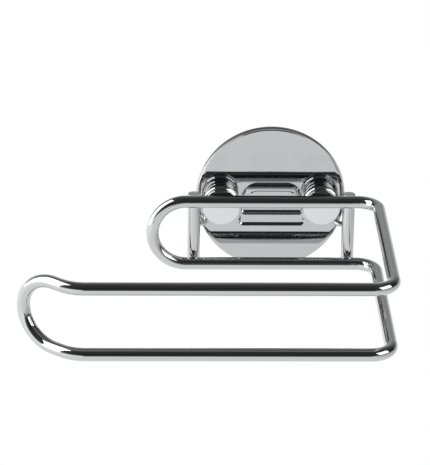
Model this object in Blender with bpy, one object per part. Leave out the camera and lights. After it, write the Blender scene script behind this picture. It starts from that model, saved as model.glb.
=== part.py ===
"""Toilet roll holder for a wall: a bent wire arm hung on the two studs of a round plate.

Metres, +Z up, the wall at y = 0 and the room towards -Y. The origin is the middle of the face
that sticks to the wall. Every length below can be changed on its own.
"""
import math

import bmesh
import bpy
from mathutils import Vector

# Clearance that neighbouring pieces keep
gap = 0.0003

# Adhesive pad between the wall and the carrier
pad_thickness = 0.0010
pad_edge_inset = 0.0040

# Pressed sheet plate with a rolled rim
plate_radius = 0.030
plate_sheet = 0.0008
plate_rim_radius = 0.0010
plate_skirt_y = -0.0010
plate_face_y = -0.0046

# Recess pressed into the plate between the studs, with a second step inside it
recess_stud_inset = 0.00655
recess_top_z = 0.0094
recess_bottom_z = -0.0106
recess_top_radius = 0.0035
recess_bottom_radius = 0.0022
recess_depth = 0.0009
recess_wall_run = 0.0006
step_side_inset = 0.0011
step_top_inset = 0.0027
step_bottom_inset = 0.0053
step_top_radius = 0.0042
step_bottom_radius = 0.0014
step_depth = 0.0009
step_wall_run = 0.0006

# Studs, one on each side of the plate's middle
stud_edge_inset = 0.00995
stud_head_radius = 0.0060
stud_head_half_flat = 0.0046
stud_head_thickness = 0.0014
stud_shoulder_radius = 0.0041
stud_shoulder_front_y = -0.0069
stud_thread_radius = 0.0025
stud_front_y = -0.0120

# Hooks that hang the arm over the studs' shoulders
hook_wire = 0.0022
hook_inner_end_z = -0.0030
hook_tail_z = -0.0092
hook_tail_forward = 0.0024
hook_bend_radius = 0.0023
hook_step_radius = 0.0015
hook_step_outset = 0.00795
hook_tail_outset = 0.01225

# Loose washers in front of the hooks
washer_radius = 0.0070
washer_thickness = 0.0008
bore_clearance = 0.0003

# Turned knobs
knob_radius = 0.0075
knob_length = 0.0051
knob_chamfer = 0.0004
knob_front_bead = 0.0009
knob_groove_width = 0.0004
knob_groove_depth = 0.0004
knob_groove_slope = 0.0002
knob_rear_bead = 0.0007
knob_bore_spare = 0.0003

# Wire of the arm, one closed loop
wire_diameter = 0.0050
rail_upper_z = 0.00424
rail_lower_z = -0.02254
arm_reach = 0.0824
arm_length = 0.1192
side_outset = 0.0109
side_bend_radius = 0.0080
rear_loop_outset = 0.0165
tip_length = 0.0237
tip_nose_length = 0.0150
tip_bend_radius = 0.0144
tip_bend_deg = 39.3

# Uprights that carry the arm's rear rails
upright_outset = 0.01085
upright_overrun = 0.0013

# Fineness of the faceted surfaces
sharp_angle_deg = 35
arc_step_deg = 11.25
rail_bevel_resolution = 6
hook_bevel_resolution = 4
plate_sides = 64
knob_sides = 32
stud_sides = 24
upright_sides = 20
corner_steps = 4
rim_steps = 4
nose_steps = 16

# Places that follow from the sizes above
stud_x = plate_radius - stud_edge_inset
pad_radius = plate_radius - pad_edge_inset
recess_half_width = stud_x - recess_stud_inset
step_half_width = recess_half_width - step_side_inset
step_top_z = recess_top_z - step_top_inset
step_bottom_z = recess_bottom_z + step_bottom_inset
wire_radius = wire_diameter / 2
hook_radius = hook_wire / 2
hook_step_x = stud_x + hook_step_outset
hook_tail_end_x = stud_x + hook_tail_outset
upright_x = stud_x + upright_outset
side_x = upright_x + side_outset
rear_loop_end_x = -(upright_x + rear_loop_outset)
tip_bend_x = side_x - arm_length
carrier_rear_y = -(pad_thickness + gap)
carrier_front_y = plate_face_y + plate_sheet + gap
carrier_radius = plate_radius - plate_sheet - gap
hook_y = plate_face_y - gap - hook_radius
hook_arch_radius = stud_shoulder_radius + gap + hook_radius
washer_rear_y = hook_y - hook_radius - gap
washer_front_y = washer_rear_y - washer_thickness
knob_rear_y = washer_front_y - gap
knob_face_y = knob_rear_y - knob_length
bore_radius = stud_thread_radius + bore_clearance
hook_tail_y = hook_y - hook_tail_forward
upright_y = hook_tail_y - hook_radius - gap - wire_radius
rear_rail_y = upright_y - wire_diameter - gap
front_rail_y = rear_rail_y - arm_reach


def clear_scene():
    """Empty the scene, so that the file can be run again."""
    for item in list(bpy.data.objects):
        bpy.data.objects.remove(item, do_unlink=True)


def make_material(name, colour, roughness, metallic):
    """One plain Principled surface."""
    surface = bpy.data.materials.new(name)
    surface.use_nodes = True
    shader = surface.node_tree.nodes["Principled BSDF"]
    shader.inputs["Base Color"].default_value = (*colour, 1.0)
    shader.inputs["Roughness"].default_value = roughness
    shader.inputs["Metallic"].default_value = metallic
    surface.diffuse_color = (*colour, 1.0)
    return surface


def chrome(name):
    """Polished chrome, one material for each piece that has it."""
    return make_material(name + "_chrome", (0.56, 0.565, 0.57), 0.05, 1.0)


def bright_chrome(name):
    """The brighter chrome of the turned pieces."""
    return make_material(name + "_bright_chrome", (0.70, 0.705, 0.71), 0.05, 1.0)


def link(name, data, material, location=(0.0, 0.0, 0.0)):
    """Put a mesh or a curve into the scene as one named object."""
    item = bpy.data.objects.new(name, data)
    item.location = location
    if material is not None:
        data.materials.append(material)
    bpy.context.scene.collection.objects.link(item)
    return item


def finish_mesh(name, bm):
    """Close a bmesh into mesh data with outward faces, smooth but for its sharp edges."""
    bmesh.ops.recalc_face_normals(bm, faces=bm.faces)
    mesh = bpy.data.meshes.new(name)
    bm.to_mesh(mesh)
    bm.free()
    mesh.shade_smooth()
    mesh.set_sharp_from_angle(angle=math.radians(sharp_angle_deg))
    return mesh


def turned(name, profile, sides):
    """Spin a closed profile of (radius, y) pairs about the Y axis."""
    bm = bmesh.new()
    verts = [bm.verts.new((radius, y, 0.0)) for radius, y in profile]
    closed = profile[0][0] > 0.0
    pairs = list(zip(verts, verts[1:]))
    if closed:
        pairs.append((verts[-1], verts[0]))
    edges = [bm.edges.new(pair) for pair in pairs]
    bmesh.ops.spin(bm, geom=verts + edges, cent=(0.0, 0.0, 0.0), axis=(0.0, 1.0, 0.0),
                   angle=math.tau, steps=sides, use_merge=True)
    bmesh.ops.remove_doubles(bm, verts=bm.verts, dist=gap / 100)
    return finish_mesh(name, bm)


def prism(name, front, front_y, back, back_y):
    """A solid between two outlines of (x, z) pairs, one at each depth."""
    bm = bmesh.new()
    near = [bm.verts.new((x, front_y, z)) for x, z in front]
    far = [bm.verts.new((x, back_y, z)) for x, z in back]
    count = len(near)
    for i in range(count):
        j = (i + 1) % count
        bm.faces.new((near[i], near[j], far[j], far[i]))
    bm.faces.new(near)
    bm.faces.new(far)
    return finish_mesh(name, bm)


def circle_outline(radius, sides):
    """Points round a circle, as (x, z) pairs."""
    turns = [math.tau * i / sides for i in range(sides)]
    return [(radius * math.cos(turn), radius * math.sin(turn)) for turn in turns]


def double_d_outline(radius, half_flat, steps):
    """A circle with two flats facing +X and -X."""
    start = math.acos(half_flat / radius)
    sweep = math.pi - 2 * start
    turns = [start + sweep * i / steps for i in range(steps + 1)]
    upper = [(radius * math.cos(turn), radius * math.sin(turn)) for turn in turns]
    return upper + [(-x, -z) for x, z in upper]


def rectangle_outline(half_width, top_z, bottom_z, top_radius, bottom_radius):
    """A rectangle with one corner radius above and one below, as (x, z) pairs."""
    corners = [
        (half_width - top_radius, top_z - top_radius, top_radius),
        (top_radius - half_width, top_z - top_radius, top_radius),
        (bottom_radius - half_width, bottom_z + bottom_radius, bottom_radius),
        (half_width - bottom_radius, bottom_z + bottom_radius, bottom_radius),
    ]
    points = []
    for quarter, (centre_x, centre_z, radius) in enumerate(corners):
        for i in range(corner_steps + 1):
            turn = math.pi / 2 * (quarter + i / corner_steps)
            points.append((centre_x + radius * math.cos(turn), centre_z + radius * math.sin(turn)))
    return points


def grown_outline(shape, offset):
    """The outline of a (half width, top, bottom, upper radius, lower radius) shape, grown."""
    half_width, top_z, bottom_z, top_radius, bottom_radius = shape
    return rectangle_outline(half_width + offset, top_z + offset, bottom_z - offset,
                             top_radius + offset, bottom_radius + offset)


def filleted(corners, closed):
    """Run through (point, radius) corners with each one rounded to its radius."""
    points = []
    count = len(corners)
    for i, (here, radius) in enumerate(corners):
        here = Vector(here)
        if not closed and i in (0, count - 1):
            points.append(here)
            continue
        before = (Vector(corners[i - 1][0]) - here).normalized()
        after = (Vector(corners[(i + 1) % count][0]) - here).normalized()
        turn = math.pi - before.angle(after)
        bisector = (before + after).normalized()
        centre = here + bisector * (radius / math.cos(turn / 2))
        across = bisector * -radius
        side = (after - before).normalized() * radius
        steps = max(1, round(math.degrees(turn) / arc_step_deg))
        for k in range(steps + 1):
            angle = turn * (k / steps - 1 / 2)
            points.append(centre + across * math.cos(angle) + side * math.sin(angle))
    kept = [points[0]]
    for point in points[1:]:
        if (point - kept[-1]).length > gap / 10:
            kept.append(point)
    if closed and (kept[0] - kept[-1]).length < gap / 10:
        kept.pop()
    return kept


def bent_wire(name, points, diameter, resolution, closed, material):
    """Round wire along a run of points."""
    curve = bpy.data.curves.new(name, "CURVE")
    curve.dimensions = "3D"
    curve.bevel_depth = diameter / 2
    curve.bevel_resolution = resolution
    curve.use_fill_caps = not closed
    run = curve.splines.new("POLY")
    run.points.add(len(points) - 1)
    for target, point in zip(run.points, points):
        target.co = (*point, 1.0)
    run.use_cyclic_u = closed
    run.use_smooth = True
    return link(name, curve, material)


def combine(target, operand, operation):
    """Join or cut one object with a hidden one."""
    operand.hide_render = True
    operand.display_type = "WIRE"
    step = target.modifiers.new(operand.name, "BOOLEAN")
    step.operation = operation
    step.solver = "EXACT"
    step.object = operand


def build_pad():
    """The foam disc that sticks to the wall."""
    profile = [(0.0, 0.0), (pad_radius, 0.0), (pad_radius, -pad_thickness), (0.0, -pad_thickness)]
    foam = make_material("pad_foam", (0.30, 0.31, 0.32), 0.90, 0.0)
    link("adhesive_pad", turned("adhesive_pad", profile, plate_sides), foam)


def build_carrier():
    """The moulded disc under the plate, with a window for the recess and a seat for each stud."""
    profile = [(0.0, carrier_front_y)]
    edge_radius = plate_rim_radius - plate_sheet - gap
    if edge_radius > 0.0:
        profile += rim_arc(edge_radius)
    else:
        profile += [(carrier_radius, carrier_front_y)]
    profile += [(carrier_radius, carrier_rear_y), (0.0, carrier_rear_y)]
    plastic = make_material("carrier_plastic", (0.12, 0.12, 0.13), 0.55, 0.0)
    carrier = link("stud_carrier", turned("stud_carrier", profile, plate_sides), plastic)
    window = grown_outline(recess_shape(), plate_sheet + gap)
    through_front = carrier_front_y - gap
    through_rear = carrier_rear_y + gap
    cutter = prism("carrier_window", window, through_front, window, through_rear)
    combine(carrier, link("carrier_window", cutter, None), "DIFFERENCE")
    seat_front_y = carrier_rear_y - stud_head_thickness - gap
    for side in (-1, 1):
        hole = circle_outline(stud_shoulder_radius + gap, stud_sides)
        name = "carrier_hole_left" if side < 0 else "carrier_hole_right"
        cutter = prism(name, hole, through_front, hole, through_rear)
        combine(carrier, link(name, cutter, None, (side * stud_x, 0.0, 0.0)), "DIFFERENCE")
        seat = double_d_outline(stud_head_radius + gap, stud_head_half_flat + gap, corner_steps)
        name = "carrier_seat_left" if side < 0 else "carrier_seat_right"
        cutter = prism(name, seat, seat_front_y, seat, through_rear)
        combine(carrier, link(name, cutter, None, (side * stud_x, 0.0, 0.0)), "DIFFERENCE")


def rim_arc(radius):
    """Quarter round from the plate's flat face to its skirt, as (radius, y) pairs."""
    centre_radius = plate_radius - plate_rim_radius
    centre_y = plate_face_y + plate_rim_radius
    turns = [math.pi / 2 * i / rim_steps for i in range(rim_steps + 1)]
    return [(centre_radius + radius * math.sin(turn), centre_y - radius * math.cos(turn))
            for turn in turns]


def recess_shape():
    """Sizes of the recess: half width, top, bottom, upper and lower corner radius."""
    return recess_half_width, recess_top_z, recess_bottom_z, recess_top_radius, recess_bottom_radius


def step_shape():
    """Sizes of the step inside the recess, in the same order."""
    return step_half_width, step_top_z, step_bottom_z, step_top_radius, step_bottom_radius


def pressed_tier(label, shape, run, start_y, depth):
    """One pressed step: the pan behind the sheet and the hollow in front of it."""
    floor_y = start_y + depth
    lean = run / depth
    pan_front_y = start_y + plate_sheet / 2
    pan_back_y = floor_y + plate_sheet
    pan_foot = grown_outline(shape, plate_sheet - run)
    pan = prism(label + "_pan", grown_outline(shape, plate_sheet), pan_front_y,
                pan_foot, pan_back_y)
    above = plate_sheet
    hollow = prism(label + "_hollow", grown_outline(shape, lean * above), start_y - above,
                   grown_outline(shape, -run), floor_y)
    return link(label + "_pan", pan, None), link(label + "_hollow", hollow, None)


def build_plate():
    """The pressed plate: flat face, rolled rim, short skirt, stepped recess and two holes."""
    profile = [(0.0, plate_face_y)]
    profile += rim_arc(plate_rim_radius)
    profile += [(plate_radius, plate_skirt_y), (plate_radius - plate_sheet, plate_skirt_y)]
    profile += reversed(rim_arc(plate_rim_radius - plate_sheet))
    profile += [(0.0, plate_face_y + plate_sheet)]
    mesh = turned("wall_plate", profile, plate_sides)
    plate = link("wall_plate", mesh, chrome("wall_plate"))
    ledge_y = plate_face_y + recess_depth
    outer_pan, outer_hollow = pressed_tier(
        "recess", recess_shape(), recess_wall_run, plate_face_y, recess_depth)
    inner_pan, inner_hollow = pressed_tier(
        "step", step_shape(), step_wall_run, ledge_y, step_depth)
    combine(plate, outer_pan, "UNION")
    combine(plate, inner_pan, "UNION")
    combine(plate, outer_hollow, "DIFFERENCE")
    combine(plate, inner_hollow, "DIFFERENCE")
    for side in (-1, 1):
        hole = circle_outline(stud_shoulder_radius + gap, stud_sides)
        name = "plate_hole_left" if side < 0 else "plate_hole_right"
        cutter = prism(name, hole, plate_face_y - gap, hole, plate_face_y + plate_sheet + gap)
        combine(plate, link(name, cutter, None, (side * stud_x, 0.0, 0.0)), "DIFFERENCE")


def build_stud(name, x):
    """A stud: flat-sided head, shoulder that carries the hook, and threaded shank."""
    head_front_y = carrier_rear_y - stud_head_thickness
    shoulder_rear_y = carrier_rear_y - stud_head_thickness / 2
    profile = [
        (0.0, shoulder_rear_y),
        (stud_shoulder_radius, shoulder_rear_y),
        (stud_shoulder_radius, stud_shoulder_front_y),
        (stud_thread_radius, stud_shoulder_front_y),
        (stud_thread_radius, stud_front_y),
        (0.0, stud_front_y),
    ]
    steel = make_material(name + "_steel", (0.55, 0.56, 0.57), 0.30, 1.0)
    stud = link(name, turned(name, profile, stud_sides), steel, (x, 0.0, 0.0))
    outline = double_d_outline(stud_head_radius, stud_head_half_flat, corner_steps)
    head = prism(name + "_head", outline, head_front_y, outline, carrier_rear_y)
    combine(stud, link(name + "_head", head, None, (x, 0.0, 0.0)), "UNION")


def build_hook(name, side):
    """An open wire hook: short leg, arch over the shoulder, long leg and a tail to the upright."""
    middle = side * stud_x
    inner_x = middle - side * hook_arch_radius
    outer_x = middle + side * hook_arch_radius
    corners = [
        ((inner_x, hook_y, hook_inner_end_z), 0.0),
        ((inner_x, hook_y, hook_arch_radius), hook_arch_radius),
        ((outer_x, hook_y, hook_arch_radius), hook_arch_radius),
        ((outer_x, hook_y, hook_tail_z), hook_bend_radius),
        ((side * hook_step_x, hook_tail_y, hook_tail_z), hook_step_radius),
        ((side * hook_tail_end_x, hook_tail_y, hook_tail_z), 0.0),
    ]
    points = filleted(corners, closed=False)
    bent_wire(name, points, hook_wire, hook_bevel_resolution, False, chrome(name))


def build_upright(name, x):
    """A straight piece of wire behind the two rear rails, cut off square."""
    top_z = rail_upper_z + upright_overrun
    bottom_z = rail_lower_z - upright_overrun
    bm = bmesh.new()
    bmesh.ops.create_cone(bm, cap_ends=True, segments=upright_sides, radius1=wire_radius,
                          radius2=wire_radius, depth=top_z - bottom_z)
    mesh = finish_mesh(name, bm)
    link(name, mesh, chrome(name), (x, upright_y, (top_z + bottom_z) / 2))


def tip_nose():
    """Half an oval round the end of the turned-back tip, from the lower rail up to the upper."""
    middle_z = (rail_upper_z + rail_lower_z) / 2
    half_height = (rail_upper_z - rail_lower_z) / 2
    bend = math.radians(tip_bend_deg)
    corners = []
    for i in range(nose_steps + 1):
        turn = math.pi * i / nose_steps
        reach = tip_length - tip_nose_length + tip_nose_length * math.sin(turn)
        x = tip_bend_x - reach * math.cos(bend)
        y = front_rail_y + reach * math.sin(bend)
        corners.append(((x, y, middle_z - half_height * math.cos(turn)), 0.0))
    return corners


def build_rail():
    """The arm's wire: two rear rails with a round end, two sides, and the arm with its tip."""
    loop_radius = (rail_upper_z - rail_lower_z) / 2
    corners = [
        ((side_x, rear_rail_y, rail_upper_z), side_bend_radius),
        ((rear_loop_end_x, rear_rail_y, rail_upper_z), loop_radius),
        ((rear_loop_end_x, rear_rail_y, rail_lower_z), loop_radius),
        ((side_x, rear_rail_y, rail_lower_z), side_bend_radius),
        ((side_x, front_rail_y, rail_lower_z), side_bend_radius),
        ((tip_bend_x, front_rail_y, rail_lower_z), tip_bend_radius),
        *tip_nose(),
        ((tip_bend_x, front_rail_y, rail_upper_z), tip_bend_radius),
        ((side_x, front_rail_y, rail_upper_z), side_bend_radius),
    ]
    points = filleted(corners, closed=True)
    bent_wire("roll_rail", points, wire_diameter, rail_bevel_resolution, True, chrome("roll_rail"))


def build_washer(name, x):
    """A flat ring that the knob presses against the hook."""
    profile = [
        (bore_radius, washer_rear_y),
        (washer_radius, washer_rear_y),
        (washer_radius, washer_front_y),
        (bore_radius, washer_front_y),
    ]
    link(name, turned(name, profile, knob_sides), bright_chrome(name), (x, 0.0, 0.0))


def build_knob(name, x):
    """A turned knob: front bead, groove, wide bead, groove, rear bead, and a blind bore."""
    low = knob_radius - knob_groove_depth
    slope = knob_groove_slope
    first = knob_face_y + knob_front_bead
    second = knob_rear_y - knob_rear_bead
    bore_end_y = stud_front_y - knob_bore_spare
    profile = [
        (0.0, knob_face_y),
        (knob_radius - knob_chamfer, knob_face_y),
        (knob_radius, knob_face_y + knob_chamfer),
        (knob_radius, first),
        (low, first + slope),
        (low, first + slope + knob_groove_width),
        (knob_radius, first + 2 * slope + knob_groove_width),
        (knob_radius, second - 2 * slope - knob_groove_width),
        (low, second - slope - knob_groove_width),
        (low, second - slope),
        (knob_radius, second),
        (knob_radius, knob_rear_y),
        (bore_radius, knob_rear_y),
        (bore_radius, bore_end_y),
        (0.0, bore_end_y),
    ]
    link(name, turned(name, profile, knob_sides), bright_chrome(name), (x, 0.0, 0.0))


def main():
    clear_scene()
    build_pad()
    build_carrier()
    build_plate()
    build_stud("stud_left", -stud_x)
    build_stud("stud_right", stud_x)
    build_hook("hook_left", -1)
    build_hook("hook_right", 1)
    build_upright("upright_left", -upright_x)
    build_upright("upright_right", upright_x)
    build_rail()
    build_washer("washer_left", -stud_x)
    build_washer("washer_right", stud_x)
    build_knob("knob_left", -stud_x)
    build_knob("knob_right", stud_x)


main()
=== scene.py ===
# %% [markdown]
# # A toilet roll holder in polished wire
# The holder is almost all chrome, and chrome has no colour of its own: it shows the room. So this
# lesson is about two things, clean smooth forms, and a room that is worth reflecting. The working
# solids come in as a frame of faceted pieces, and each visible one is remade here, finer, in the
# same place and at the same size.

import math

import bmesh
import bpy
from mathutils import Matrix, Quaternion, Vector


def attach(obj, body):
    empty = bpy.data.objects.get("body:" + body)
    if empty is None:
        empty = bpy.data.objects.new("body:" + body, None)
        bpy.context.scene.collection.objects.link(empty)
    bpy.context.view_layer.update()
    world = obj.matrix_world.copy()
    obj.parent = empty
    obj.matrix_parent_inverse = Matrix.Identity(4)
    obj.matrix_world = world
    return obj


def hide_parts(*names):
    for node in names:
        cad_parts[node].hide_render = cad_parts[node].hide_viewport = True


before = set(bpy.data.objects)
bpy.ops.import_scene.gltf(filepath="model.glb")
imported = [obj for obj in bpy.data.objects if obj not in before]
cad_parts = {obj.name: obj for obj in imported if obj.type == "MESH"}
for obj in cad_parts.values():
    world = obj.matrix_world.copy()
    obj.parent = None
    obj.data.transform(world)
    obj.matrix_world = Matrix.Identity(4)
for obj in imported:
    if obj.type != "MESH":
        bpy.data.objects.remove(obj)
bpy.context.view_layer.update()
scene = bpy.context.scene
scene.view_settings.view_transform = "Standard"
mm = 0.001

# %% [markdown]
# ## The camera
# A camera that is only roughly right makes every curve look wrong. It could be moved by eye until
# the picture looks right, but this one was solved from straight edges in the photograph. How far
# the rails converge gives the distance, and how tall the loops look beside their width gives the
# downward angle of about 24 degrees. It stands a metre away with a long lens, so the holder has
# little perspective.

# %% Camera
pitch, yaw, roll = math.radians(23.60), math.radians(1.73), math.radians(0.85)
focal_pixels = 2561.0
image_height_pixels = 465.0
plate_middle_pixel = (271.43, 195.58)
image_middle_pixel = (215.0, 232.5)
distance = 1.0326
sensor_height = 36.0
plate_rear_middle = Vector((0.5 * mm, -1.0 * mm, 0.0))

forward = Vector((math.sin(yaw) * math.cos(pitch), math.cos(yaw) * math.cos(pitch),
                  -math.sin(pitch)))
level_right = Vector((math.cos(yaw), -math.sin(yaw), 0.0))
level_up = level_right.cross(forward)
camera_right = level_right * math.cos(roll) + level_up * math.sin(roll)
camera_up = level_up * math.cos(roll) - level_right * math.sin(roll)
shift_right = (plate_middle_pixel[0] - image_middle_pixel[0]) * distance / focal_pixels
shift_up = (image_middle_pixel[1] - plate_middle_pixel[1]) * distance / focal_pixels
eye = plate_rear_middle - camera_right * shift_right - camera_up * shift_up - forward * distance

camera_data = bpy.data.cameras.new("camera")
camera_data.sensor_fit = "VERTICAL"
camera_data.sensor_height = sensor_height
camera_data.lens = focal_pixels / image_height_pixels * sensor_height
camera_data.clip_start = 0.01
camera = bpy.data.objects.new("camera", camera_data)
scene.collection.objects.link(camera)
camera_turn = Matrix((camera_right, camera_up, -forward)).transposed().to_4x4()
camera.matrix_world = Matrix.Translation(eye) @ camera_turn
scene.camera = camera
print("camera at", [round(v, 4) for v in eye], "with a lens of", round(camera_data.lens, 1))

# %% [markdown]
# ## The room
# A studio picture of chrome is lit by what stands round it: a pale floor that fills everything
# below the horizon, a dark room above it, and two white soft boxes. The room could be modelled,
# but bands of grey in the world are easier to move until each edge of light on the wire lies
# right. Each band gives the brightness all the way round at one height, as a colour ramp over the
# turn from the back of the room, by way of the right, to the back again.

# %% Bands of the room
world = bpy.data.worlds.new("studio")
scene.world = world
world.use_nodes = True
nodes, links = world.node_tree.nodes, world.node_tree.links
nodes.clear()


def number_node(operation, first, second=None):
    """A Math node fed by sockets or plain numbers."""
    node = nodes.new("ShaderNodeMath")
    node.operation = operation
    for socket, value in zip(node.inputs, (first, second)):
        if isinstance(value, (int, float)):
            socket.default_value = value
        elif value is not None:
            links.new(value, socket)
    return node.outputs[0]


def set_greys(ramp, stops):
    """Give a colour ramp soft stops of grey, each with its place from 0 to 1 and its level."""
    ramp.interpolation = "EASE"
    while len(ramp.elements) < len(stops):
        ramp.elements.new(0.5)
    for element, (place, level) in zip(ramp.elements, stops):
        element.position = place
        element.color = (level, level, level, 1.0)


def round_the_room(turn, stops):
    """Brightness at one height, from stops of (degrees from the back, level)."""
    node = nodes.new("ShaderNodeValToRGB")
    set_greys(node.color_ramp, [(degrees / 360, level) for degrees, level in stops])
    links.new(turn, node.inputs["Fac"])
    return node.outputs["Color"]


direction = nodes.new("ShaderNodeTexCoord")
split = nodes.new("ShaderNodeSeparateXYZ")
links.new(direction.outputs["Generated"], split.inputs["Vector"])
angle = number_node("ARCTAN2", split.outputs["X"], split.outputs["Y"])
turn = number_node("FRACT", number_node("ADD", number_node("DIVIDE", angle, math.tau), 1.0))
horizon_band = round_the_room(turn, [
    (0, 0.75), (45, 0.45), (75, 0.10), (110, 0.35), (165, 0.54),
    (175, 0.10), (186, 0.10), (196, 0.60), (300, 0.8), (360, 0.75)])
low_band = round_the_room(turn, [
    (0, 0.50), (22, 0.40), (48, 0.18), (75, 0.04), (120, 0.08),
    (180, 0.04), (250, 0.12), (305, 0.55), (325, 0.42), (360, 0.50)])
middle_band = round_the_room(turn, [
    (0, 0.40), (22, 0.26), (45, 0.12), (70, 0.025), (110, 0.035),
    (180, 0.028), (250, 0.05), (310, 0.28), (335, 0.22), (360, 0.40)])
high_band = round_the_room(turn, [
    (0, 0.10), (90, 0.07), (180, 0.045), (270, 0.06), (360, 0.10)])
print("world nodes for the bands:", len(nodes))

# %% [markdown]
# ## What each ray sees
# The bands are blended by height, from just under the horizon to high overhead. The sky that the
# camera sees is plain white. Light Path tells a ray from the camera, and one that a mirror sends
# on, from the rays that light the object, so the white backdrop adds no light of its own.

# %% World
fill_grey, fill_strength = 0.9, 0.8


def up_to(start, end):
    """A share that goes from 0 to 1 as a direction rises from one angle to another, in degrees."""
    node = nodes.new("ShaderNodeMapRange")
    node.interpolation_type = "SMOOTHSTEP"
    node.inputs["From Min"].default_value = math.sin(math.radians(start))
    node.inputs["From Max"].default_value = math.sin(math.radians(end))
    links.new(split.outputs["Z"], node.inputs["Value"])
    return node.outputs["Result"]


def mix_colours(share, first, second):
    """Go from one colour socket to another."""
    node = nodes.new("ShaderNodeMix")
    node.data_type = "RGBA"
    links.new(share, node.inputs[0])
    links.new(first, node.inputs[6])
    links.new(second, node.inputs[7])
    return node.outputs[2]


upper = mix_colours(up_to(start=30, end=60), middle_band, high_band)
over_horizon = mix_colours(up_to(start=8, end=28), low_band, upper)
room_colour = mix_colours(up_to(start=-1, end=12), horizon_band, over_horizon)
room, fill, white = (nodes.new("ShaderNodeBackground") for _ in range(3))
links.new(room_colour, room.inputs["Color"])
fill.inputs["Color"].default_value = (fill_grey, fill_grey, fill_grey, 1.0)
fill.inputs["Strength"].default_value = fill_strength
white.inputs["Color"].default_value = (1.0, 1.0, 1.0, 1.0)
path = nodes.new("ShaderNodeLightPath")
glossy_mix, camera_mix = (nodes.new("ShaderNodeMixShader") for _ in range(2))
out = nodes.new("ShaderNodeOutputWorld")
links.new(path.outputs["Is Glossy Ray"], glossy_mix.inputs["Fac"])
links.new(fill.outputs["Background"], glossy_mix.inputs[1])
links.new(room.outputs["Background"], glossy_mix.inputs[2])
links.new(path.outputs["Is Camera Ray"], camera_mix.inputs["Fac"])
links.new(glossy_mix.outputs["Shader"], camera_mix.inputs[1])
links.new(white.outputs["Background"], camera_mix.inputs[2])
links.new(camera_mix.outputs["Shader"], out.inputs["Surface"])
print("world nodes:", len(nodes))

# %% [markdown]
# ## Paint for the floor
# The camera sees the floor as plain white, like the sky. Each wire mirrors it in its whole lower
# half, where one flat white would look pasted on. A real studio floor is brightest near the large
# soft box, so what a mirror sees of this one falls off softly from left to right. A gradient of
# light from a lamp would do the same, but it would shine on the holder too.

# %% Floor paint
fall_reach, floor_glow = 1.2, 1.25
fall_stops = [(0.0, 1.0), (0.3, 0.84), (0.65, 0.77), (1.0, 0.58)]


def plain_finish(name, colour, roughness, metallic=0.0):
    """A Principled material with its constants set on the shader's own sockets."""
    material = bpy.data.materials.new(name)
    material.use_nodes = True
    shader = material.node_tree.nodes["Principled BSDF"]
    shader.inputs["Base Color"].default_value = (*colour, 1.0)
    shader.inputs["Roughness"].default_value = roughness
    shader.inputs["Metallic"].default_value = metallic
    return material, material.node_tree, shader


def floor_paint():
    """White to the camera, soft greys to a mirror, and plain pale paint to all other rays."""
    paint, tree, shader = plain_finish("pale_floor", (0.8, 0.8, 0.8), roughness=0.9)
    add, join = tree.nodes.new, tree.links.new
    place = add("ShaderNodeTexCoord")
    axes = add("ShaderNodeSeparateXYZ")
    join(place.outputs["Object"], axes.inputs["Vector"])
    across = add("ShaderNodeMapRange")
    across.inputs["From Min"].default_value = -fall_reach
    across.inputs["From Max"].default_value = fall_reach
    join(axes.outputs["X"], across.inputs["Value"])
    fall = add("ShaderNodeValToRGB")
    set_greys(fall.color_ramp, fall_stops)
    join(across.outputs["Result"], fall.inputs["Fac"])
    light_path = add("ShaderNodeLightPath")
    shown = add("ShaderNodeEmission")
    mirrored = add("ShaderNodeEmission")
    join(fall.outputs["Color"], mirrored.inputs["Color"])
    mirrored.inputs["Strength"].default_value = floor_glow
    seen = add("ShaderNodeMath")
    seen.operation = "MAXIMUM"
    join(light_path.outputs["Is Glossy Ray"], seen.inputs[0])
    join(light_path.outputs["Is Transmission Ray"], seen.inputs[1])
    first, last = add("ShaderNodeMixShader"), add("ShaderNodeMixShader")
    join(seen.outputs[0], first.inputs["Fac"])
    join(shader.outputs["BSDF"], first.inputs[1])
    join(mirrored.outputs["Emission"], first.inputs[2])
    join(light_path.outputs["Is Camera Ray"], last.inputs["Fac"])
    join(first.outputs["Shader"], last.inputs[1])
    join(shown.outputs["Emission"], last.inputs[2])
    join(last.outputs["Shader"], tree.nodes["Material Output"].inputs["Surface"])
    return paint


pale_paint = floor_paint()
print("nodes in the floor's paint:", len(pale_paint.node_tree.nodes))

# %% [markdown]
# ## The floor
# One more band in the world could stand for the floor, but then every wire would mirror the same
# greys. A plane at a real distance shows each wire its own part of the fall.

# %% Floor
floor_drop, floor_size = 0.45, 30.0
bm = bmesh.new()
bmesh.ops.create_grid(bm, x_segments=1, y_segments=1, size=floor_size)
mesh = bpy.data.meshes.new("floor")
bm.to_mesh(mesh)
bm.free()
mesh.materials.append(pale_paint)
floor = bpy.data.objects.new("floor", mesh)
floor.location.z = -floor_drop
scene.collection.objects.link(floor)
print("floor", floor_drop, "m below the wall plate's middle")

# %% [markdown]
# ## Two soft boxes
# Chrome shows each lamp as a shape, so a lamp's size and place matter more than its power. A ring
# of small lamps would light the holder too, but each would show as a dot. A tall panel on the left
# draws the long white highlights on the round ends of the wire, and a lower one to the front and
# right makes the bright spots in the sharp bends.

# %% Lamps
holder_middle = (-0.03, -0.05, 0.0)


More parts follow.
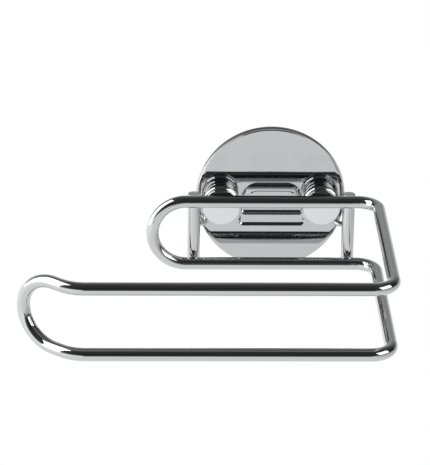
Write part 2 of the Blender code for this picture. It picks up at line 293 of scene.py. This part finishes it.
def soft_box(name, middle, facing, width, height, brightness, lean_degrees=0.0):
    """A white panel at a place, facing a point, turned in its own plane, of a set brightness."""
    lamp = bpy.data.lights.new(name, "AREA")
    lamp.shape = "RECTANGLE"
    lamp.size = width
    lamp.size_y = height
    lamp.energy = brightness * math.pi * width * height
    box = bpy.data.objects.new(name, lamp)
    box.location = middle
    facing_turn = (Vector(middle) - Vector(facing)).to_track_quat("Z", "Y")
    lean = Quaternion((0.0, 0.0, 1.0), math.radians(lean_degrees))
    box.rotation_euler = (facing_turn @ lean).to_euler()
    box.visible_camera = False
    scene.collection.objects.link(box)


def around(turn_degrees, rise_degrees, far):
    """A point at a turn from the back by way of the right, a rise and a distance."""
    turn, rise = math.radians(turn_degrees), math.radians(rise_degrees)
    return (far * math.sin(turn) * math.cos(rise), far * math.cos(turn) * math.cos(rise),
            far * math.sin(rise))


soft_box("box_left", around(turn_degrees=269.5, rise_degrees=27, far=1.3), holder_middle,
         width=1.10, height=1.76, brightness=2.5, lean_degrees=10.0)
soft_box("box_right", around(turn_degrees=124, rise_degrees=31, far=1.5), holder_middle,
         width=1.15, height=0.95, brightness=2.5)
print("lamps:", [lamp.name for lamp in bpy.data.lights])

# %% [markdown]
# ## A black flag
# Photographers draw dark edges on chrome with a black panel that they call a flag. This one stands
# far in front. The straight wires mirror its lower edge, where their dark half ends and the bright
# floor begins. The floor could end there instead, but then the turned-back tip would mirror the
# gap as well.

# %% Flag
flag_width, flag_away = 0.8, 2.7
flag_low, flag_high = -0.34, 0.02
mesh = bpy.data.meshes.new("black_flag")
corners = [(-flag_width / 2, -flag_away, flag_low), (flag_width / 2, -flag_away, flag_low),
           (flag_width / 2, -flag_away, flag_high), (-flag_width / 2, -flag_away, flag_high)]
mesh.from_pydata(corners, [], [(0, 1, 2, 3)])
cloth, _, _ = plain_finish("black_cloth", (0.03, 0.03, 0.03), roughness=0.9)
mesh.materials.append(cloth)
flag = bpy.data.objects.new("black_flag", mesh)
flag.visible_camera = False
scene.collection.objects.link(flag)
print("flag", flag_away, "m in front, up to", flag_high, "m over the plate's middle")

# %% [markdown]
# ## Finishes
# Polished chrome is a mirror that keeps a little over half of the light, and the turned knobs keep
# more. What makes it look real is what breaks the mirror: a faint waviness from the wire drawing,
# and a roughness that changes by a hair from place to place. A scratched picture could be wrapped
# on, but it would stretch in the bends. Noise on Object coordinates, at sizes of about 5 and
# 11 mm, stays with the piece and looks the same from everywhere.

# %% Finishes
polish_scale, wave_scale = 220.0, 90.0


def noise_value(tree, scale, detail, low, high, stretch=(1.0, 1.0, 1.0)):
    """Noise on Object coordinates, brought to a range."""
    place = tree.nodes.new("ShaderNodeTexCoord")
    mapping = tree.nodes.new("ShaderNodeMapping")
    mapping.inputs["Scale"].default_value = stretch
    noise = tree.nodes.new("ShaderNodeTexNoise")
    noise.inputs["Scale"].default_value = scale
    noise.inputs["Detail"].default_value = detail
    span = tree.nodes.new("ShaderNodeMapRange")
    span.inputs["From Min"].default_value = 0.3
    span.inputs["From Max"].default_value = 0.7
    span.inputs["To Min"].default_value = low
    span.inputs["To Max"].default_value = high
    tree.links.new(place.outputs["Object"], mapping.inputs["Vector"])
    tree.links.new(mapping.outputs["Vector"], noise.inputs["Vector"])
    tree.links.new(noise.outputs["Fac"], span.inputs["Value"])
    return span.outputs["Result"]


def add_bump(tree, shader, height, depth):
    """Tilt what a surface mirrors by a height from 0 to 1, as if it were that deep."""
    bump = tree.nodes.new("ShaderNodeBump")
    bump.inputs["Strength"].default_value = 1.0
    bump.inputs["Distance"].default_value = depth
    tree.links.new(height, bump.inputs["Height"])
    tree.links.new(bump.outputs["Normal"], shader.inputs["Normal"])


def chrome_finish(name, tone, polish, wave):
    """Chrome with a roughness that varies by a hair and a faint waviness."""
    material, tree, shader = plain_finish(name, tone, polish, metallic=1.0)
    rough = noise_value(tree, polish_scale, detail=3.0, low=polish * 0.6, high=polish * 1.6)
    tree.links.new(rough, shader.inputs["Roughness"])
    height = noise_value(tree, wave_scale, detail=2.0, low=0.0, high=1.0)
    add_bump(tree, shader, height, wave)
    return material


wire_tone, plate_tone, knob_tone = (0.56, 0.565, 0.57), (0.53, 0.535, 0.54), (0.70, 0.705, 0.71)
wire_chrome = chrome_finish("drawn_wire_chrome", wire_tone, polish=0.035, wave=0.004 * mm)
plate_chrome = chrome_finish("pressed_plate_chrome", plate_tone, polish=0.03, wave=0.003 * mm)
hook_chrome = chrome_finish("thin_wire_chrome", wire_tone, polish=0.04, wave=0.001 * mm)
knob_chrome = chrome_finish("turned_knob_chrome", knob_tone, polish=0.03, wave=0.001 * mm)
print("chrome finishes:", [finish.name for finish in (wire_chrome, plate_chrome, hook_chrome,
                                                      knob_chrome)])

# %% [markdown]
# ## A tree that bends wire
# Every wire here is the same idea: straight runs joined by round bends. So one Geometry Nodes tree
# makes them all. It takes a chain of corners, each with its own bend radius as an attribute,
# rounds them with Fillet Curve, and sweeps a circle along the result. Modelling each wire by hand
# would also work, but its bends would be harder to keep true to their radius.

# %% Wire tree
wire_radius = 2.5
bend_steps, round_steps = 32, 64


def new_tree(name, sizes):
    """An empty tree with a Geometry socket and a named input for each size."""
    tree = bpy.data.node_groups.new(name, "GeometryNodeTree")
    face = tree.interface
    face.new_socket("Geometry", in_out="INPUT", socket_type="NodeSocketGeometry")
    for label, kind, value in sizes:
        socket = face.new_socket(label, in_out="INPUT", socket_type=kind)
        if value is not None:
            socket.default_value = value
    face.new_socket("Geometry", in_out="OUTPUT", socket_type="NodeSocketGeometry")
    start = tree.nodes.new("NodeGroupInput")
    end = tree.nodes.new("NodeGroupOutput")
    return tree, start, end


def wire_tree():
    """Corners in, round bent wire out."""
    tree, start, end = new_tree("bent_wire", [
        ("Wire Radius", "NodeSocketFloat", wire_radius * mm),
        ("Bend Steps", "NodeSocketInt", bend_steps),
        ("Round Steps", "NodeSocketInt", round_steps),
        ("Finish", "NodeSocketMaterial", None),
    ])
    add, join = tree.nodes.new, tree.links.new
    chain = add("GeometryNodeMeshToCurve")
    radius = add("GeometryNodeInputNamedAttribute")
    radius.data_type = "FLOAT"
    radius.inputs["Name"].default_value = "bend_radius"
    fillet = add("GeometryNodeFilletCurve")
    fillet.mode = "POLY"
    fillet.inputs["Limit Radius"].default_value = True
    circle = add("GeometryNodeCurvePrimitiveCircle")
    sweep = add("GeometryNodeCurveToMesh")
    sweep.inputs["Fill Caps"].default_value = True
    smooth = add("GeometryNodeSetShadeSmooth")
    real = add("GeometryNodeRealizeInstances")
    finish = add("GeometryNodeSetMaterial")
    join(start.outputs["Geometry"], chain.inputs["Mesh"])
    join(chain.outputs["Curve"], fillet.inputs["Curve"])
    join(radius.outputs["Attribute"], fillet.inputs["Radius"])
    join(start.outputs["Bend Steps"], fillet.inputs["Count"])
    join(start.outputs["Wire Radius"], circle.inputs["Radius"])
    join(start.outputs["Round Steps"], circle.inputs["Resolution"])
    join(fillet.outputs["Curve"], sweep.inputs["Curve"])
    join(circle.outputs["Curve"], sweep.inputs["Profile Curve"])
    join(sweep.outputs["Mesh"], smooth.inputs["Geometry"])
    join(smooth.outputs["Geometry"], real.inputs["Geometry"])
    join(real.outputs["Geometry"], finish.inputs["Geometry"])
    join(start.outputs["Finish"], finish.inputs["Material"])
    join(finish.outputs["Geometry"], end.inputs["Geometry"])
    return tree


bent_wire = wire_tree()
print("tree:", bent_wire.name, "with", len(bent_wire.nodes), "nodes")

# %% [markdown]
# ## From corners to a piece
# The tree runs on a plain chain of edges whose points carry their bend radius. Its result is then
# turned into a mesh of its own, because a finished piece should not depend on a live modifier.
# Points that fall on each other are welded. In the round end of the arm two bends meet, and a
# straight run of 0.02 mm is left between them. Faces that thin would glint, so a closed loop is
# welded a little wider.

# %% Wire pieces
point_weld, loop_weld = 0.001, 0.03


def use_tree(piece, tree, values):
    """Put a tree on a piece with its named inputs set by their sockets' identifiers."""
    modifier = piece.modifiers.new(tree.name, "NODES")
    modifier.node_group = tree
    for socket in tree.interface.items_tree:
        if socket.item_type == "SOCKET" and socket.name in values:
            modifier[socket.identifier] = values[socket.name]


def bake(piece, weld=point_weld):
    """Turn what the modifiers make into the piece's own plain mesh, faces outwards."""
    graph = bpy.context.evaluated_depsgraph_get()
    graph.update()
    mesh = bpy.data.meshes.new_from_object(piece.evaluated_get(graph))
    piece.modifiers.clear()
    piece.data = mesh
    bm = bmesh.new()
    bm.from_mesh(mesh)
    bmesh.ops.remove_doubles(bm, verts=bm.verts, dist=weld * mm)
    bmesh.ops.recalc_face_normals(bm, faces=bm.faces)
    bm.to_mesh(mesh)
    bm.free()
    return piece


def add_piece(name, mesh):
    """Link a mesh into the scene as a piece."""
    piece = bpy.data.objects.new(name, mesh)
    scene.collection.objects.link(piece)
    return piece


def wire_piece(name, corners, closed, radius, steps, finish):
    """A wire from (point, bend radius) corners in millimetres, with steps in a bend and round."""
    mesh = bpy.data.meshes.new(name)
    count = len(corners)
    edges = [(i, i + 1) for i in range(count - 1)]
    if closed:
        edges.append((count - 1, 0))
    mesh.from_pydata([Vector(point) * mm for point, bend in corners], edges, [])
    bends = mesh.attributes.new("bend_radius", "FLOAT", "POINT")
    bends.data.foreach_set("value", [bend * mm for point, bend in corners])
    piece = add_piece(name, mesh)
    use_tree(piece, bent_wire, {"Wire Radius": radius * mm, "Bend Steps": steps[0],
                                "Round Steps": steps[1], "Finish": finish})
    return bake(piece, loop_weld if closed else point_weld)


print("points weld at", point_weld, "mm, in closed loops at", loop_weld, "mm")

# %% [markdown]
# ## The arm
# The whole arm is one closed loop of 5 mm wire. At the back it makes two rails with a round left
# end. On the right it turns forward through four sharp bends, and in front it ends in a tip that
# is turned back towards the wall, which keeps the roll on. It could be drawn as a curve by hand,
# but a list of corners going once round, with the bend radius of each, keeps the rails parallel.
# The tip's nose is half an oval, so it comes as points of its own.

# %% Arm
upper_z, lower_z = 4.24, -22.54
rear_y, front_y = -17.6, -100.0
side_x, side_bend = 41.8, 8.0
rear_end_x, rear_end_bend = -47.4, 13.38
tip_bend_x, tip_bend = -77.4, 14.4
tip_length, nose_length = 23.7, 15.0
tip_turn = math.radians(39.3)


def tip_nose(steps=72):
    """Half an oval round the tip's end, from the lower rail up to the upper, without bends."""
    middle_z, half_height = (upper_z + lower_z) / 2, (upper_z - lower_z) / 2
    nose = []
    for i in range(steps + 1):
        t = math.pi * i / steps
        reach = tip_length - nose_length + nose_length * math.sin(t)
        point = (tip_bend_x - reach * math.cos(tip_turn), front_y + reach * math.sin(tip_turn),
                 middle_z - half_height * math.cos(t))
        nose.append((point, 0.0))
    return nose


arm_corners = [
    ((side_x, rear_y, upper_z), side_bend),
    ((rear_end_x, rear_y, upper_z), rear_end_bend),
    ((rear_end_x, rear_y, lower_z), rear_end_bend),
    ((side_x, rear_y, lower_z), side_bend),
    ((side_x, front_y, lower_z), side_bend),
    ((tip_bend_x, front_y, lower_z), tip_bend),
    *tip_nose(),
    ((tip_bend_x, front_y, upper_z), tip_bend),
    ((side_x, front_y, upper_z), side_bend),
]
arm = wire_piece("arm_wire", arm_corners, True, wire_radius, (bend_steps, round_steps),
                 wire_chrome)
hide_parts("roll_rail")
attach(arm, "holder")
print("arm faces:", len(arm.data.polygons))

# %% [markdown]
# ## A lathe
# The knobs and washers of the real holder are turned, so a small lathe makes them here too: it
# spins a profile about an axis. Blender's Screw modifier does the same, but a function of a few
# lines closes the poles at the axis and leaves a plain mesh at once.

# %% Lathe
crisp_edge_degrees = 40


def turned_mesh(name, profile, steps, middle, along="Y"):
    """Spin a profile of (radius, place) pairs in millimetres about an axis along Y or Z."""
    rings = []
    turns = [math.tau * i / steps for i in range(steps)]
    bm = bmesh.new()
    for radius, place in profile:
        ring = []
        for t in turns if radius > 0.0 else turns[:1]:
            across, up = radius * math.cos(t), radius * math.sin(t)
            if along == "Y":
                point = (middle[0] + across, place, middle[1] + up)
            else:
                point = (middle[0] + across, middle[1] + up, place)
            ring.append(bm.verts.new(Vector(point) * mm))
        rings.append(ring)
    pairs = list(zip(rings, rings[1:]))
    if len(rings[0]) > 1 and len(rings[-1]) > 1:
        pairs.append((rings[-1], rings[0]))
    for near, far in pairs:
        for i in range(steps):
            j = (i + 1) % steps
            corners = [near[i % len(near)], near[j % len(near)],
                       far[j % len(far)], far[i % len(far)]]
            bm.faces.new(list(dict.fromkeys(corners)))
    bmesh.ops.recalc_face_normals(bm, faces=bm.faces)
    mesh = bpy.data.meshes.new(name)
    bm.to_mesh(mesh)
    bm.free()
    mesh.shade_smooth()
    mesh.set_sharp_from_angle(angle=math.radians(crisp_edge_degrees))
    return mesh


def round_edge(corner, radius, start_deg, steps=5):
    """Points on a small quarter round about a centre, as (radius, place) pairs."""
    turns = [math.radians(start_deg - 90.0 * i / steps) for i in range(steps + 1)]
    return [(corner[0] + radius * math.cos(t), corner[1] + radius * math.sin(t)) for t in turns]


print("the lathe keeps edges over", crisp_edge_degrees, "degrees crisp")

# %% [markdown]
# ## The uprights
# Two short pieces of the same wire stand behind the rear rails and carry them. They are cut off
# square, a little above and below the rails, with the edge of the cut just broken. A profile on
# the lathe gives that edge more cheaply than a bevel on a swept wire.

# %% Uprights
sides = ((-1, "left"), (1, "right"))
upright_x, upright_y = 30.9, -12.3
past_rail, broken_edge = 1.3, 0.25
top_z, bottom_z = upper_z + past_rail, lower_z - past_rail
for side, word in sides:
    profile = [(0.0, top_z)]
    profile += round_edge((wire_radius - broken_edge, top_z - broken_edge), broken_edge, 90.0)
    profile += round_edge((wire_radius - broken_edge, bottom_z + broken_edge), broken_edge, 0.0)
    profile += [(0.0, bottom_z)]
    name = "upright_wire_" + word
    middle = (side * upright_x, upright_y)
    mesh = turned_mesh(name, profile, round_steps, middle, along="Z")
    mesh.materials.append(wire_chrome)
    piece = add_piece(name, mesh)
    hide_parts("upright_" + word)
    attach(piece, "holder")
    print(name, "is", round(top_z - bottom_z, 1), "mm long")

# %% [markdown]
# ## The hooks
# A thin wire goes over each stud's shoulder like a shepherd's crook. Its long leg comes down
# beside the knob, turns outwards and steps forward to the back of the upright, where it is welded.
# The same wire tree bends it, with a radius for each bend, so it needs no modelling of its own.

# %% Hooks
stud_x = 20.05
hook_radius, hook_steps = 1.1, (16, 32)
hook_y, tail_y = -6.0, -8.4
arch, short_leg_z, tail_z = 5.5, -3.0, -9.2
leg_bend, tail_bend = 2.3, 1.5
tail_start_x, tail_end_x = 28.0, 32.3
for side, word in sides:
    inner, outer = side * (stud_x - arch), side * (stud_x + arch)
    corners = [
        ((inner, hook_y, short_leg_z), 0.0),
        ((inner, hook_y, arch), arch - 0.01),
        ((outer, hook_y, arch), arch - 0.01),
        ((outer, hook_y, tail_z), leg_bend),
        ((side * tail_start_x, tail_y, tail_z), tail_bend),
        ((side * tail_end_x, tail_y, tail_z), 0.0),
    ]
    piece = wire_piece("hook_wire_" + word, corners, False, hook_radius, hook_steps, hook_chrome)
    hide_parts("hook_" + word)
    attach(piece, "holder")
    print(piece.name, "faces:", len(piece.data.polygons))

# %% [markdown]
# ## The plate
# The plate is pressed from thin sheet: a nearly flat face, a rim rolled back to the wall and
# flared a little at its end, and a shallow recess with a second step in it. A mirror shows every
# dent. A boolean cut would leave long thin faces that catch the light, so the surface is laid out
# as rings that follow the recess's own outline and spread out to the round rim.

# %% Plate outlines
side_points, corner_points = 64, 32
recess_x = 0.6
# Lip of each tier: half width, top, bottom, upper and lower corner radius
recess = (13.7, 8.6, -11.8, 4.0, 2.4)
inner_step = (12.9, 7.35, -7.6, 7.4, 2.2)
# How far each wall runs inwards at the sides, at the top and at the bottom
recess_run = (1.3, 0.8, 1.42)
step_run = (0.9, 0.55, 2.3)


def rounded_ring(half_width, top, bottom, top_radius, bottom_radius):
    """A rectangle with its own upper and lower corner radii, always with as many points."""
    ring = []
    corners = [(half_width - top_radius, top - top_radius, top_radius),
               (top_radius - half_width, top - top_radius, top_radius),
               (bottom_radius - half_width, bottom + bottom_radius, bottom_radius),
               (half_width - bottom_radius, bottom + bottom_radius, bottom_radius)]
    for quarter, (cx, cz, radius) in enumerate(corners):
        for i in range(corner_points):
            t = math.pi / 2 * (quarter + i / corner_points)
            ring.append((recess_x + cx + radius * math.cos(t), cz + radius * math.sin(t)))
        t = math.pi / 2 * (quarter + 1)
        nx, nz, next_radius = corners[(quarter + 1) % 4]
        here = (cx + radius * math.cos(t), cz + radius * math.sin(t))
        there = (nx + next_radius * math.cos(t), nz + next_radius * math.sin(t))
        for i in range(side_points):
            share = i / side_points
            ring.append((recess_x + here[0] + (there[0] - here[0]) * share,
                         here[1] + (there[1] - here[1]) * share))
    return ring


def circle_ring(radius, pattern):
    """A circle whose points lie in the same directions as a pattern ring's points."""
    ring = []
    for x, z in pattern:
        away = math.hypot(x, z)
        ring.append((x / away * radius, z / away * radius))
    return ring


def blend_rings(inner, outer, share):
    """A ring part of the way between two."""
    return [(a[0] + (b[0] - a[0]) * share, a[1] + (b[1] - a[1]) * share)
            for a, b in zip(inner, outer)]


def tier_ring(shape, runs, t):
    """A ring on a wall, from its lip at t = 0 to its foot at t = 1."""
    half_width, top, bottom, top_radius, bottom_radius = shape
    side, over, under = (run * t for run in runs)
    return rounded_ring(half_width - side, top - over, bottom + under,
                        top_radius - (side + over) / 2, bottom_radius - (side + under) / 2)


print("points in each ring:", len(tier_ring(recess, recess_run, 0.0)))

# %% [markdown]
# ## How deep the sheet lies
# Each part of the pressing has its own rule for depth, read from what it mirrors in the
# photograph. The face eases back a hair over the recess. The recess is a ramp, deepest at its
# lower edge. The floor of the step swells towards the room. The walls between them start softly
# and end in a crisp foot. Sculpting could do this by eye, but a rule keeps the mirror even.

# %% Plate depths
shelf_start, shelf_end, shelf_deepest, shelf_power = 8.0, -10.4, 0.69, 1.6
crown_z, crown_depth, crown_rise, crown_length, crown_power = 2.3, 0.40, 0.58, 4.45, 1.9
fade_start, fade_length = -1, 3.5
under_slope, under_bend = 0.17, 1.5
ease_start, ease_peak, ease_end, ease_slope = 11.1, 11.9, 19.3, 0.0375


def wall_fall(t, soft, share):
    """Share of a wall's depth: a soft lip first, then a steep fall to a sharp foot."""
    if t < soft:
        return share * (t / soft) ** 2
    return share + (1 - share) * (t - soft) / (1 - soft)


def face_depth(x, z):
    """The flat face eases back a hair over the recess, as a pressed sheet does."""
    if z < ease_start:
        return 0.0
    bend = ease_peak - ease_start
    if z < ease_peak:
        return ease_slope / (2 * bend) * (z - ease_start) ** 2
    past = min(z, ease_end) - ease_peak
    return ease_slope * (bend / 2 + past - past ** 2 / (2 * (ease_end - ease_peak)))


def shelf_depth(x, z):
    """The outer tier is a ramp: nothing at its top, deepest at its lower wall."""
    share = max(0.0, shelf_start - z) / (shelf_start - shelf_end)
    return shelf_deepest * share ** shelf_power


def floor_depth(x, z):
    """The inner floor swells towards the room and falls away to the arch over it."""
    half_width, top, _, arch_radius, _ = inner_step
    aside = max(0.0, abs(x - recess_x) - (half_width - arch_radius))
    over = max(0.0, z - (top - arch_radius))
    foot_radius = arch_radius - (step_run[0] + step_run[1]) / 2
    inside = max(0.0, foot_radius - math.hypot(aside, over))
    fade = min(1.0, max(0.0, (z - fade_start) / fade_length))
    share = max(0.0, 1 - inside / crown_length) * fade
    under = max(0.0, crown_z - z)
    return (crown_depth + crown_rise * share ** crown_power
            + under_slope * (math.hypot(under, under_bend) - under_bend))


print("deepest under the face:", round(shelf_depth(0.0, shelf_end), 2), "mm")

# %% [markdown]
# ## Rings from the middle to the rim
# The rings start in the middle of the recess and go out over its walls to the edge of the flat
# face. They lie close together at each lip, so that smooth shading turns there and nowhere else,
# which keeps the flats flat.

# %% Plate rings
wall_steps, floor_steps, face_steps = 16, 40, 56
shelf_shares = (0.03, 0.12, 0.35, 0.65, 0.88, 0.97)
lip_shares = [0.005, 0.015]
heart_z, heart_share = crown_z - 4, 0.02
flat_r = 28.0


def add_wall(rings, shape, runs, soft, share, over, under):
    """Rings of a wall from its foot, at one depth, up to its lip, at another."""
    foot = tier_ring(shape, runs, 1.0)
    for i in range(wall_steps, -1, -1):
        fall = wall_fall(i / wall_steps, soft, share)
        ring = []
        for (x, z), (foot_x, foot_z) in zip(tier_ring(shape, runs, i / wall_steps), foot):
            high, low = over(x, z), under(foot_x, foot_z)
            ring.append((x, z, high + (low - high) * fall))
        rings.append(ring)


def face_rings():
    """Rings with their depths, from the middle of the recess to the edge of the flat face."""
    rings = []
    foot = tier_ring(inner_step, step_run, 1.0)
    heart = [(x * heart_share, heart_z + (z - heart_z) * heart_share) for x, z in foot]
    for i in range(floor_steps):
        rings.append([(x, z, floor_depth(x, z))
                      for x, z in blend_rings(heart, foot, i / floor_steps)])
    add_wall(rings, inner_step, step_run, soft=0.55, share=0.30,
             over=shelf_depth, under=floor_depth)
    lip, foot = tier_ring(inner_step, step_run, 0.0), tier_ring(recess, recess_run, 1.0)
    for share in shelf_shares:
        rings.append([(x, z, shelf_depth(x, z)) for x, z in blend_rings(lip, foot, share)])
    add_wall(rings, recess, recess_run, soft=0.25, share=0.08,
             over=face_depth, under=shelf_depth)
    lip = tier_ring(recess, recess_run, 0.0)
    rim = circle_ring(flat_r, lip)
    for share in lip_shares + [i / face_steps for i in range(1, face_steps + 1)]:
        rings.append([(x, z, face_depth(x, z)) for x, z in blend_rings(lip, rim, share)])
    return rings


front = face_rings()
print("rings on the face:", len(front))

# %% [markdown]
# ## The rim, the back and the holes
# From the flat face the sheet leans back, rolls over its shoulder and runs to the wall with a
# small flare at its end, then turns inwards and comes back behind the face. So the plate is one
# closed sheet with a real thickness, where a Solidify modifier would thicken the flare too. The
# two holes for the studs are plain cuts in a flat, where a boolean does no harm.

# %% Plate
plate_face, sheet = -4.6, 0.75
shoulder_r, side_r, plate_r = 29.3, 29.65, 30.0
rim_lean, rim_steps, rim_crease_degrees = math.radians(12), 8, 50
rim_end = ((side_r, -3.2), (side_r, -3.0), (29.7, -2.8), (29.97, -2.05),
           (plate_r, -1.9), (plate_r, -1.3), (29.92, -1.08), (29.75, -1.0),
           (29.1, -1.0), (28.95, -1.1), (28.95, -3.4), (28.5, -3.8))
stud_hole = [(0.0, -6.0), (4.4, -6.0), (4.4, -2.5), (0.0, -2.5)]


def plate_rings():
    """All rings of the sheet: over the face, round the rim and back to the middle behind."""
    pattern = [(x, z) for x, z, depth in front[-1]]
    rings = [[(x, z, plate_face + depth) for x, z, depth in ring] for ring in front]

    def add_circle(radius, y):
        ring = circle_ring(radius, pattern)
        rings.append([(x, z, max(y, plate_face + face_depth(x, z))) for x, z in ring])

    drop = (shoulder_r - flat_r) * math.tan(rim_lean) / 2
    for i in range(1, rim_steps + 1):
        share = i / rim_steps
        add_circle(flat_r + (shoulder_r - flat_r) * share, plate_face + drop * share ** 2)
    roll = side_r - shoulder_r
    for i in range(1, rim_steps + 1):
        t = math.pi / 2 * i / rim_steps
        add_circle(shoulder_r + roll * math.sin(t), plate_face + drop + roll * (1 - math.cos(t)))
    for radius, y in rim_end:
        add_circle(radius, y)
    for ring in reversed(front[::4] + [front[-1]]):
        rings.append([(x, z, plate_face + depth + sheet) for x, z, depth in ring])
    return rings


def sheet_mesh(name, rings):
    """Join rings of (x, z, y) points into one closed mesh."""
    bm = bmesh.new()
    loops = [[bm.verts.new((x * mm, y * mm, z * mm)) for x, z, y in ring] for ring in rings]
    count = len(loops[0])
    for near, far in zip(loops, loops[1:]):
        for i in range(count):
            j = (i + 1) % count
            bm.faces.new((near[i], near[j], far[j], far[i]))
    bm.faces.new(loops[0])
    bm.faces.new(loops[-1])
    bmesh.ops.recalc_face_normals(bm, faces=bm.faces)
    mesh = bpy.data.meshes.new(name)
    bm.to_mesh(mesh)
    bm.free()
    mesh.shade_smooth()
    mesh.set_sharp_from_angle(angle=math.radians(rim_crease_degrees))
    mesh.materials.append(plate_chrome)
    return mesh


plate = add_piece("pressed_plate", sheet_mesh("pressed_plate", plate_rings()))
drills = []
for side, word in sides:
    drill = turned_mesh("drill_" + word, stud_hole, round_steps, (side * stud_x, 0.0))
    drills.append(add_piece("drill_" + word, drill))
    hole = plate.modifiers.new("hole_" + word, "BOOLEAN")
    hole.operation = "DIFFERENCE"
    hole.solver = "EXACT"
    hole.object = drills[-1]
bake(plate)
for drill in drills:
    bpy.data.objects.remove(drill)
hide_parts("wall_plate")
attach(plate, "holder")
print("plate faces:", len(plate.data.polygons))

# %% [markdown]
# ## The profile of a knob
# A knob is a turned part, so its whole shape is in one profile. It has a narrow bead at its face,
# a waist, a cone that opens towards the plate, and a wide rear bead. All of them are slightly
# rounded, which turns the light into the fine bright rings that a polished knob shows. Straight
# steps would shine in one line only.

# %% Knob profile
turned_steps = 128
knob_face, knob_rear = -13.6, -8.5
bore_radius, bore_end = 2.8, -12.3


def bead(start, end, radius, crown, steps):
    """A gently crowned bead between two places on a knob."""
    points = []
    for i in range(steps + 1):
        t = i / steps
        swell = crown * (1 - (2 * t - 1) ** 2)
        points.append((radius - crown + swell, start + (end - start) * t))
    return points


def cone(start, length, low, high, swell, steps):
    """A slightly rounded cone that opens away from the face, between two radii."""
    points = []
    for i in range(steps + 1):
        t = i / steps
        out = swell * (1 - (2 * t - 1) ** 2)
        points.append((low + (high - low) * t + out, start + length * t - out))
    return points


def knob_profile():
    """From the face's middle, round the outside, to the end of the blind bore."""
    face = knob_face
    profile = [(0.0, face)]
    profile += list(reversed(round_edge((7.1, face + 0.4), 0.4, 0.0, 6)))
    profile += bead(face + 0.45, face + 0.85, 7.5, crown=0.03, steps=4)
    profile += [(7.0, face + 1.0), (6.8, face + 1.15), (6.65, face + 1.4), (6.6, face + 1.9),
                (6.6, face + 2.9), (6.65, face + 3.4)]
    profile += cone(face + 3.5, 0.75, 6.7, 7.42, swell=0.06, steps=8)
    profile += bead(face + 4.35, knob_rear, 7.48, crown=0.03, steps=6)
    profile += [(bore_radius, knob_rear), (bore_radius, bore_end), (0.0, bore_end)]
    return profile


print("points in the knob's profile:", len(knob_profile()))

# %% [markdown]
# ## Knobs and washers
# Each side gets the same knob, spun about its own stud, and behind it a washer: a flat ring with
# its edges just broken. The washer could be turned in one with the knob, but the real one is
# loose, so it is a piece with a body of its own.

# %% Knobs and washers
washer_profile = [(bore_radius, -7.4), (6.9, -7.4), (7.0, -7.5), (7.0, -8.1), (6.9, -8.2),
                  (bore_radius, -8.2)]
for side, word in sides:
    middle = (side * stud_x, 0.0)
    mesh = turned_mesh("turned_knob_" + word, knob_profile(), turned_steps, middle)
    mesh.materials.append(knob_chrome)
    knob = add_piece("turned_knob_" + word, mesh)
    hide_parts("knob_" + word)
    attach(knob, "knob_" + word + "_body")
    mesh = turned_mesh("washer_ring_" + word, washer_profile, turned_steps, middle)
    mesh.materials.append(knob_chrome)
    washer = add_piece("washer_ring_" + word, mesh)
    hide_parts("washer_" + word)
    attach(washer, "washer_" + word + "_body")
    print("knob and washer", word, len(knob.data.polygons), "faces")

# %% [markdown]
# ## What is left of the frame
# The pad, the carrier and the studs are hidden, so they keep the shape of their working solids.
# They get finishes of their own: foam with fine cells, moulded plastic with a fine grain, and
# machined steel. Each grain is finer than a millimetre, which noise and cells give without a
# picture.

# %% Hidden pieces


def foam_finish():
    """Grey foam with fine cells."""
    material, tree, shader = plain_finish("pad_foam", (0.30, 0.31, 0.32), roughness=0.9)
    cells = tree.nodes.new("ShaderNodeTexVoronoi")
    cells.inputs["Scale"].default_value = 2500.0
    place = tree.nodes.new("ShaderNodeTexCoord")
    tree.links.new(place.outputs["Object"], cells.inputs["Vector"])
    add_bump(tree, shader, cells.outputs["Distance"], 0.1 * mm)
    return material


def moulded_finish():
    """Black moulded plastic with a fine spark-eroded grain."""
    material, tree, shader = plain_finish("carrier_plastic", (0.05, 0.05, 0.055), roughness=0.55)
    grain = noise_value(tree, scale=3000.0, detail=4.0, low=0.0, high=1.0)
    add_bump(tree, shader, grain, 0.03 * mm)
    return material


def steel_finish():
    """Machined steel with a fine turned grain."""
    tone = (0.45, 0.455, 0.46)
    material, tree, shader = plain_finish("stud_steel", tone, roughness=0.25, metallic=1.0)
    rough = noise_value(tree, scale=1500.0, detail=3.0, low=0.18, high=0.34,
                        stretch=(1.0, 12.0, 1.0))
    tree.links.new(rough, shader.inputs["Roughness"])
    return material


finishes = {"adhesive_pad": foam_finish(), "stud_carrier": moulded_finish()}
finishes["stud_left"] = finishes["stud_right"] = steel_finish()
for node, material in finishes.items():
    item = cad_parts[node]
    item.data.materials.clear()
    item.data.materials.append(material)
    print(node, "has", material.name)
